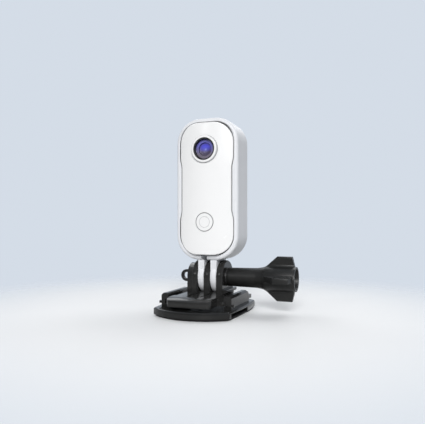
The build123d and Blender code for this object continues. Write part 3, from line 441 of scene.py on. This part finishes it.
# the three greys below are painted shade, where little light comes out of a joint or a rim
JOINT_PAINTED_SHADE = (0.32, 0.32, 0.33)
BEZEL_PAINTED_SHADE = (0.52, 0.52, 0.53)
LIGHT_RIM_PAINTED_SHADE = (0.55, 0.55, 0.56)
EDGE_SHARE = 0.02
FACE_CLOUD = 70
FACE_GRAIN = 1800
FACE_GLOSS_REACH = 0.04


def mould_face(tree, shader, rough, depth_mm):
    """Gives the camera's front faces their slowly wandering gloss and their fine grain."""
    vary_roughness(tree, shader, noise(tree, FACE_CLOUD), rough - FACE_GLOSS_REACH, rough + FACE_GLOSS_REACH)
    raise_grain(tree, shader, noise(tree, FACE_GRAIN), depth_mm)


def round_white_with_painted_rim_shade(name, axis_z, radius, edge, coat=0.2, rough=0.2, joint=JOINT_PAINTED_SHADE):
    """A white plastic with a painted shade from the edge share of a radius outwards."""
    material, tree, shader = new_material(name, coat=coat)
    from_axis, _ = axis_distance(tree, axis_z, radius)
    paint(tree, shader, ramp(tree, from_axis, [(0.0, WHITE), (edge, WHITE), (min(1.0, edge + EDGE_SHARE), joint)]))
    mould_face(tree, shader, rough, depth_mm=0.002)
    return material


_, bezel_radius = height_and_radius(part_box("lens_bezel"))
_, cap_radius = height_and_radius(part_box("shutter_button"))
dress(round_white_with_painted_rim_shade("bezel_white", LENS_Z, bezel_radius, edge=0.955, coat=0.4, rough=0.16, joint=BEZEL_PAINTED_SHADE),
      "lens_bezel")
dress(round_white_with_painted_rim_shade("button_white", BUTTON_Z, cap_radius, edge=0.80), "shutter_button")
dress(round_white_with_painted_rim_shade("light_milky", BUTTON_Z, LIGHT_RADIUS, edge=0.93, joint=LIGHT_RIM_PAINTED_SHADE), "button_light")
print("bezel radius:", round(bezel_radius, 5), "button cap radius:", round(cap_radius, 5))

# %% [markdown]
# ## The joint round the panel
# The panel's side wall gets a painted shade by its depth behind the bracket's front, in a band that ends again
# further in, so that the camera stays white when it is pushed out.

# %% Dress the front panel
PANEL_EDGE_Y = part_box("bracket_frame")[0][1]
JOINT_DEPTH = 0.002
# painted shade on the panel's side wall inside the joint
PANEL_PAINTED_SHADE_BAND = ((0.0, WHITE), (0.12, WHITE), (0.3, JOINT_PAINTED_SHADE), (0.7, JOINT_PAINTED_SHADE), (1.0, WHITE))


def depth_behind_front(tree):
    """The depth behind the bracket's front face, from 0 there to 1 where the joint's painted shade ends."""
    depth = step(tree, "SeparateXYZ", {"Vector": own_place(tree)}).outputs["Y"]
    return remap(tree, depth, PANEL_EDGE_Y, PANEL_EDGE_Y + JOINT_DEPTH)


panel_white, tree, shader = new_material("panel_white", coat=0.25)
paint(tree, shader, ramp(tree, depth_behind_front(tree), PANEL_PAINTED_SHADE_BAND))
mould_face(tree, shader, rough=0.24, depth_mm=0.003)
dress(panel_white, "front_cover")
print("panel edge at depth:", PANEL_EDGE_Y)

# %% [markdown]
# ## The bracket's side of the joint
# The bracket's inner wall shows across the joint at the top and left. It gets the same painted shade, but only where
# it follows the camera's rounded outline, so that its outside stays white. The distance from a rounded rectangle is
# found as in drawing one: take away the straight core, and what is left is a distance from a corner's middle. At the
# top the crowned panel stands proud and hides the joint from a low place, so there the grey line is carried on over
# the lip's inner edge, as a painted shadow under the panel.

# %% Shade the bracket where it faces the camera
# painted shade on the bracket's inner wall, and a painted shadow along the lip under the panel
WALL_PAINTED_SHADE = (0.16, 0.16, 0.165)
SHELL_CORNER = 0.0093
JOINT_WALL = 0.0006
LIP_PAINTED_SHADOW_WIDTH = 0.00076
SOFT_BORDER = 0.0002
TOP_START = 0.007
TOP_FULL = 0.002
NONE = (0, 0, 0)
FULL = (1, 1, 1)
WALL_PAINTED_SHADE_BAND = ((0.0, NONE), (0.06, NONE), (0.16, FULL), (0.75, FULL), (1.0, NONE))
shell_low, shell_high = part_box("front_cover")
SHELL_MIDDLE_Z = (shell_low[2] + shell_high[2]) / 2
HALF_WIDTH = (shell_high[0] - shell_low[0]) / 2
HALF_HEIGHT = (shell_high[2] - shell_low[2]) / 2


def outline_distance(tree):
    """The distance from the core of the camera's rounded outline, and the height over its middle."""
    centred = step(tree, "Mapping", {"Vector": own_place(tree)},
                   {"Location": (0, 0, -SHELL_MIDDLE_Z), "Scale": (1, 0, 1)}).outputs["Vector"]
    core = (HALF_WIDTH - SHELL_CORNER, 0, HALF_HEIGHT - SHELL_CORNER)
    mirrored = step(tree, "VectorMath", {0: centred}, operation="ABSOLUTE").outputs["Vector"]
    past_core = step(tree, "VectorMath", {0: mirrored}, {1: core}, operation="SUBTRACT").outputs["Vector"]
    reach = step(tree, "VectorMath", {0: past_core}, {1: (0, 0, 0)}, operation="MAXIMUM").outputs["Vector"]
    distance = step(tree, "VectorMath", {0: reach}, operation="LENGTH").outputs["Value"]
    return distance, step(tree, "SeparateXYZ", {"Vector": centred}).outputs["Z"]


tree = bracket_white.node_tree
shader = tree.nodes["Principled BSDF"]
face_colour = shader.inputs["Base Color"].links[0].from_socket
from_core, height = outline_distance(tree)
on_wall = remap(tree, from_core, SHELL_CORNER + JOINT_WALL, SHELL_CORNER + JOINT_WALL + SOFT_BORDER, 1.0, 0.0)
at_depth = ramp(tree, depth_behind_front(tree), WALL_PAINTED_SHADE_BAND)
on_lip = remap(tree, from_core, SHELL_CORNER + LIP_PAINTED_SHADOW_WIDTH, SHELL_CORNER + LIP_PAINTED_SHADOW_WIDTH + SOFT_BORDER, 1.0, 0.0)
at_top = remap(tree, height, HALF_HEIGHT - TOP_START, HALF_HEIGHT - TOP_FULL)
# the mask of the painted shade on the wall and of the painted shadow on the lip
painted_shade_mask = combine(tree, "MAXIMUM", combine(tree, "MULTIPLY", on_wall, at_depth),
                   combine(tree, "MULTIPLY", on_lip, at_top))
shaded = step(tree, "Mix", {"Factor": painted_shade_mask, 6: face_colour}, {7: (*WALL_PAINTED_SHADE, 1)}, data_type="RGBA")
paint(tree, shader, shaded.outputs[2])
print("camera outline:", round(2 * HALF_WIDTH, 5), "by", round(2 * HALF_HEIGHT, 5))

# %% [markdown]
# ## Metals
# The bolt, nut, screws and hinge pin are turned or pressed steel. Turning leaves fine rings round the axis, so their
# grain is squeezed along the axis, and their gloss varies with it. Sheet parts show the direction they were rolled in.

# %% Dress the metals
bolt_steel = finish("bolt_steel", (0.56, 0.55, 0.53), 0.34, metal=1.0, grain=3000, depth_mm=0.003, stretch=(4, 1, 1))
dress(finish("nut_steel", (0.52, 0.51, 0.50), 0.34, metal=1.0, grain=2600, depth_mm=0.012, stretch=(4, 1, 1)),
      "hex_nut")
dress(finish("pin_steel", (0.6, 0.6, 0.6), 0.25, metal=1.0, grain=4000, depth_mm=0.005, stretch=(6, 1, 1)),
      "door_pin")
dress(finish("screw_steel", (0.5, 0.5, 0.51), 0.35, metal=1.0, grain=3500, depth_mm=0.008), "board_screws")
dress(finish("socket_steel", (0.62, 0.62, 0.63), 0.28, metal=1.0, grain=3000, depth_mm=0.006),
      "usb_socket", "card_socket")
dress(finish("can_tin", (0.58, 0.58, 0.57), 0.32, metal=1.0, grain=2200, depth_mm=0.01, stretch=(1, 1, 5)),
      "shield_can")
dress(finish("magnet_nickel", (0.5, 0.48, 0.44), 0.22, metal=1.0, grain=1800, depth_mm=0.006), "rear_magnet")
dress(finish("spreader_copper", (0.75, 0.42, 0.27), 0.36, metal=1.0, grain=2000, depth_mm=0.012, stretch=(1, 1, 6)),
      "heat_spreader")
dress(finish("aerial_gold", (0.78, 0.58, 0.26), 0.3, metal=1.0, grain=3000, depth_mm=0.006), "aerial")
print("metals dressed")

# %% [markdown]
# ## The bolt's thread
# The bolt is an M5 hexagon bolt with a coarse 0.8 mm thread, which the solids keep as a plain bar. It shows when the
# thumb screw is wound out. A thread is one tooth's outline carried round the axis while it moves along it, so the
# Screw modifier makes it from a short line of points. The line is one edge of a grid, lifted point by point.

# %% Draw one tooth and wind it into a thread
PIVOT_Y, PIVOT_Z = 0.0074, 0.0157
BOLT_TIP_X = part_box("bolt")[0][0]
BOLT_END_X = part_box("bolt")[1][0]
BOLT_HEAD_X = 0.0273
THREAD_PITCH = 0.0008
THREAD_STEPS = 32
THREAD_TURNS = round((BOLT_HEAD_X - BOLT_TIP_X) / THREAD_PITCH)
SPARE_TURNS = 2
CREST_RADIUS = 0.00245
ROOT_RADIUS = 0.00205
TOOTH_HEIGHTS = (0, 0, 0.55, 1, 0.55, 0, 0)
POINT_REACH = THREAD_PITCH / 30


def select_where(test):
    """Selects, in edit mode, the vertices that pass a test on their place, and nothing else."""
    bpy.ops.object.mode_set(mode="EDIT")
    bpy.ops.mesh.select_mode(type="VERT")
    bpy.ops.mesh.select_all(action="DESELECT")
    bpy.ops.object.mode_set(mode="OBJECT")
    for vertex in bpy.context.object.data.vertices:
        vertex.select = bool(test(vertex.co))
    bpy.ops.object.mode_set(mode="EDIT")


def select_everything():
    """Selects the whole mesh in edit mode."""
    bpy.ops.object.mode_set(mode="EDIT")
    bpy.ops.mesh.select_all(action="SELECT")


deselect_all()
bpy.ops.mesh.primitive_grid_add(x_subdivisions=len(TOOTH_HEIGHTS) - 1, y_subdivisions=1, size=THREAD_PITCH,
                                location=(BOLT_TIP_X - THREAD_PITCH, PIVOT_Y, PIVOT_Z))
bolt_thread = bpy.context.object
bolt_thread.name = "bolt_thread"
select_where(lambda co: co.y > 0)
bpy.ops.mesh.delete(type="VERT")
select_everything()
bpy.ops.transform.translate(value=(0, THREAD_PITCH / 2, ROOT_RADIUS))
for number, tooth in enumerate(TOOTH_HEIGHTS):
    middle_x = THREAD_PITCH * (number / (len(TOOTH_HEIGHTS) - 1) - 0.5)
    select_where(lambda co: abs(co.x - middle_x) < POINT_REACH)
    bpy.ops.transform.translate(value=(0, 0, tooth * (CREST_RADIUS - ROOT_RADIUS)))
bpy.ops.object.mode_set(mode="OBJECT")
wind = bolt_thread.modifiers.new("wind", "SCREW")
wind.axis = "X"
wind.screw_offset = THREAD_PITCH
wind.steps = THREAD_STEPS
wind.render_steps = THREAD_STEPS
wind.iterations = THREAD_TURNS + SPARE_TURNS
bpy.ops.object.modifier_apply(modifier="wind")
print("thread turns:", THREAD_TURNS, "points:", len(bolt_thread.data.vertices))

# %% [markdown]
# ## The shank's ends
# The winding ends in a helix at both ends. A bisect cuts each square and fills the cut, and the tip is then drawn in
# by three short steps, as a die leaves it.

# %% Cut the shank's ends square and draw in the tip
WELD_DISTANCE = 1e-6
HEAD_OVERLAP = 0.0003
TIP_STEPS = ((0.00045, 0.95), (0.0003, 0.94), (0.00015, 0.93))
FLANK_ANGLE = math.radians(35)

select_everything()
bpy.ops.mesh.remove_doubles(threshold=WELD_DISTANCE)
bpy.ops.mesh.bisect(plane_co=(BOLT_TIP_X, PIVOT_Y, PIVOT_Z), plane_no=(1, 0, 0), use_fill=True, clear_inner=True)
select_everything()
bpy.ops.mesh.bisect(plane_co=(BOLT_HEAD_X + HEAD_OVERLAP, PIVOT_Y, PIVOT_Z), plane_no=(1, 0, 0), use_fill=True,
                    clear_outer=True)
start_x = bolt_thread.location.x
for reach, share in TIP_STEPS:
    select_where(lambda co: co.x + start_x < BOLT_TIP_X + reach)
    bpy.ops.transform.resize(value=(1, share, share), center_override=(BOLT_TIP_X, PIVOT_Y, PIVOT_Z))
select_everything()
bpy.ops.mesh.normals_make_consistent(inside=False)
bpy.ops.object.mode_set(mode="OBJECT")
bpy.ops.object.shade_smooth_by_angle(angle=FLANK_ANGLE)
print("shank faces:", len(bolt_thread.data.polygons))

# %% [markdown]
# ## The hexagon head
# The head is a six-sided primitive with bevelled corners. It is joined to the shank, and the whole bolt stands for the
# plain one and turns with the thumb screw.

# %% Model the head and join it to the shank
HEAD_SIDES = 6
HEAD_CORNER_RADIUS = 0.0046
HEAD_BEVEL = 0.0003
BEVEL_SEGMENTS = 2

deselect_all()
bpy.ops.mesh.primitive_cylinder_add(vertices=HEAD_SIDES, radius=HEAD_CORNER_RADIUS, depth=BOLT_END_X - BOLT_HEAD_X,
                                    location=((BOLT_HEAD_X + BOLT_END_X) / 2, PIVOT_Y, PIVOT_Z),
                                    rotation=(0, QUARTER_TURN, 0))
bolt_head = bpy.context.object
bolt_head.name = "bolt_head"
select_everything()
bpy.ops.mesh.bevel(offset=HEAD_BEVEL, segments=BEVEL_SEGMENTS)
bpy.ops.object.mode_set(mode="OBJECT")
bolt_thread.select_set(True)
bpy.context.view_layer.objects.active = bolt_thread
bpy.ops.object.join()
bpy.ops.object.transform_apply(location=True, rotation=True, scale=True)
bolt_thread.data.materials.append(bolt_steel)
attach(bolt_thread, "thumb_screw")
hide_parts("bolt")
print("bolt size in mm:", [round(v * 1000, 2) for v in bolt_thread.dimensions])

# %% [markdown]
# ## Circuit boards
# Circuit boards are glass cloth under a tinted lacquer, with copper lines showing through as a slightly lighter
# green. A brick texture gives the lines, because tracks run square to each other.

# %% Dress the boards
TRACK_SCALE = 500
TRACK_WIDTH = 0.06
SECOND_SHADE = 0.85


def board_finish(name, lacquer, track):
    """A lacquered circuit board, with raised tracks under the lacquer."""
    material, tree, shader = new_material(name, coat=0.4)
    upright = step(tree, "Mapping", {"Vector": own_place(tree)}, {"Rotation": (QUARTER_TURN, 0, 0)})
    tracks = step(tree, "TexBrick", {"Vector": upright.outputs["Vector"]},
                  {"Scale": TRACK_SCALE, "Mortar Size": TRACK_WIDTH, "Color1": (*lacquer, 1),
                   "Color2": (*[c * SECOND_SHADE for c in lacquer], 1), "Mortar": (*track, 1)})
    paint(tree, shader, tracks.outputs["Color"])
    vary_roughness(tree, shader, noise(tree, 700), 0.25, 0.4)
    raise_grain(tree, shader, tracks.outputs["Fac"], 0.02)
    return material


dress(board_finish("board_green", (0.012, 0.07, 0.03), (0.03, 0.14, 0.06)), "main_board", "sensor_board")
print("boards dressed")

# %% [markdown]
# ## What sits on the boards
# Chips are dull moulded epoxy, the cell is a foil pouch, and the flexible ribbon is amber film over copper. The sensor
# and its filter are polished glass under a clear coat, and the small cans are plated sheet.

# %% Dress the electronics
dress(finish("chip_epoxy", (0.022, 0.022, 0.023), 0.5, grain=3500, depth_mm=0.012, shade=0.12),
      "processor", "memory_chip")
dress(finish("cell_foil", (0.42, 0.43, 0.45), 0.38, metal=0.85, grain=900, depth_mm=0.05, shade=0.05), "battery")
dress(finish("ribbon_film", (0.52, 0.27, 0.05), 0.3, grain=1500, depth_mm=0.01, coat=0.5, stretch=(8, 1, 1)),
      "sensor_ribbon")
dress(finish("card_black", (0.02, 0.02, 0.022), 0.42, grain=2600, depth_mm=0.008), "memory_card")
dress(finish("sensor_glass", (0.05, 0.03, 0.06), 0.12, grain=5000, depth_mm=0.001, coat=1.0), "image_sensor")
dress(finish("filter_glass", (0.10, 0.22, 0.26), 0.08, grain=1500, depth_mm=0.001, coat=1.0), "infrared_filter")
dress(finish("switch_metal", (0.6, 0.6, 0.58), 0.35, metal=0.9, grain=3000, depth_mm=0.008), "button_switch")
dress(finish("microphone_can", (0.66, 0.6, 0.42), 0.3, metal=1.0, grain=3000, depth_mm=0.008), "microphone")
print("electronics dressed")

# %% [markdown]
# ## Soft edges
# No moulded edge is sharp: the tool leaves a small radius, which catches a thin line of light. A bevel modifier gives
# it to the solids without touching their meshes. It welds the loose triangles first, and rounds only real edges.

# %% Round the moulded edges
EDGE_ANGLE = math.radians(40)


def soften(width_mm, *names):
    """Rounds the sharp edges of CAD nodes by a modifier."""
    for name in names:
        piece = nodes[name]
        weld = piece.modifiers.new("weld", "WELD")
        weld.merge_threshold = WELD_DISTANCE
        bevel = piece.modifiers.new("soft_edge", "BEVEL")
        bevel.width = width_mm * MM
        bevel.segments = BEVEL_SEGMENTS
        bevel.limit_method = "ANGLE"
        bevel.angle_limit = EDGE_ANGLE
        bevel.harden_normals = True


soften(0.12, "buckle", "base_plate", "latch_leg_left", "latch_leg_right", "knob", "nut_cap")
soften(0.08, "bracket_frame", "thrust_washer")
print("edges softened")
